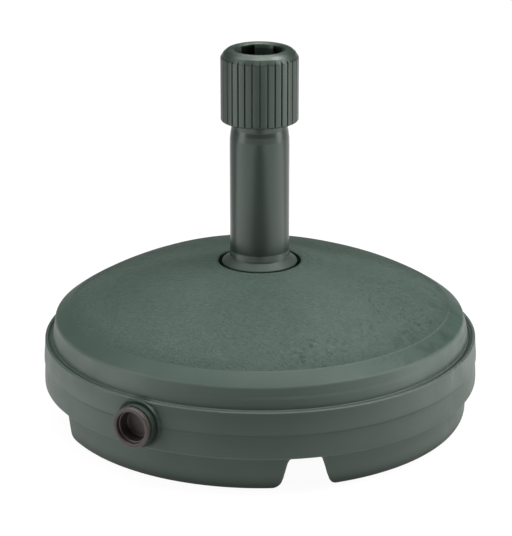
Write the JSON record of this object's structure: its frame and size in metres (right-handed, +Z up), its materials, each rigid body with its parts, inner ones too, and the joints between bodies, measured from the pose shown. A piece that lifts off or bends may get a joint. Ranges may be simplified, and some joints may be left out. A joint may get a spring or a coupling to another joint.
{
  "type": "umbrella base",
  "caption": "Round hollow fillable umbrella base: domed tank with a stepped rim and foot notches, screw filler plug, stem tube and ribbed clamp nut over a split collet.",
  "frame": {"origin": "on the stem's axis, on the floor, at the middle of the tank's underside", "axes": "+Z up along the stem; -Y out through the filler plug; X across it"},
  "size_m": [0.45, 0.465, 0.3895],
  "materials": {
    "tank_green": "fine pebbled grain on the dome, smooth elsewhere",
    "stem_green": "satin",
    "nut_green": "satin, ribbed",
    "collet_green": "satin",
    "plug_brown": "satin",
    "stop_black": "matt",
    "seal_black": "matt"
  },
  "bodies": {
    "base": {"tank_body": "tank_green"},
    "stem": {"stem_tube": "stem_green", "pole_stop": "stop_black"},
    "collet": {"collet": "collet_green"},
    "nut": {"clamp_nut": "nut_green"},
    "seal": {"plug_gasket": "seal_black"},
    "plug": {"filler_plug": "plug_brown"}
  },
  "joints": [
    {"name": "stem_lift", "type": "slide", "parent": "base", "child": "stem", "axis": [0, 0, 1], "range_m": [0, 0.15]},
    {"name": "nut_travel", "type": "slide", "parent": "stem", "child": "collet", "axis": [0, 0, 1], "range_m": [0, 0.018]},
    {"name": "nut_turn", "type": "hinge", "parent": "collet", "child": "nut", "pos_m": [0, 0, 0.35], "axis": [0, 0, 1], "range_deg": [0, 1080]},
    {"name": "plug_travel", "type": "slide", "parent": "base", "child": "seal", "axis": [0, -1, 0], "range_m": [0, 0.012]},
    {"name": "plug_turn", "type": "hinge", "parent": "seal", "child": "plug", "pos_m": [0, -0.235, 0.063], "axis": [0, -1, 0], "range_deg": [0, 1080]}
  ],
  "couplings": [
    {"joint": "nut_travel", "follows": "nut_turn", "m_per_rad": 0.00095493},
    {"joint": "plug_travel", "follows": "plug_turn", "m_per_rad": 0.00063662}
  ]
}
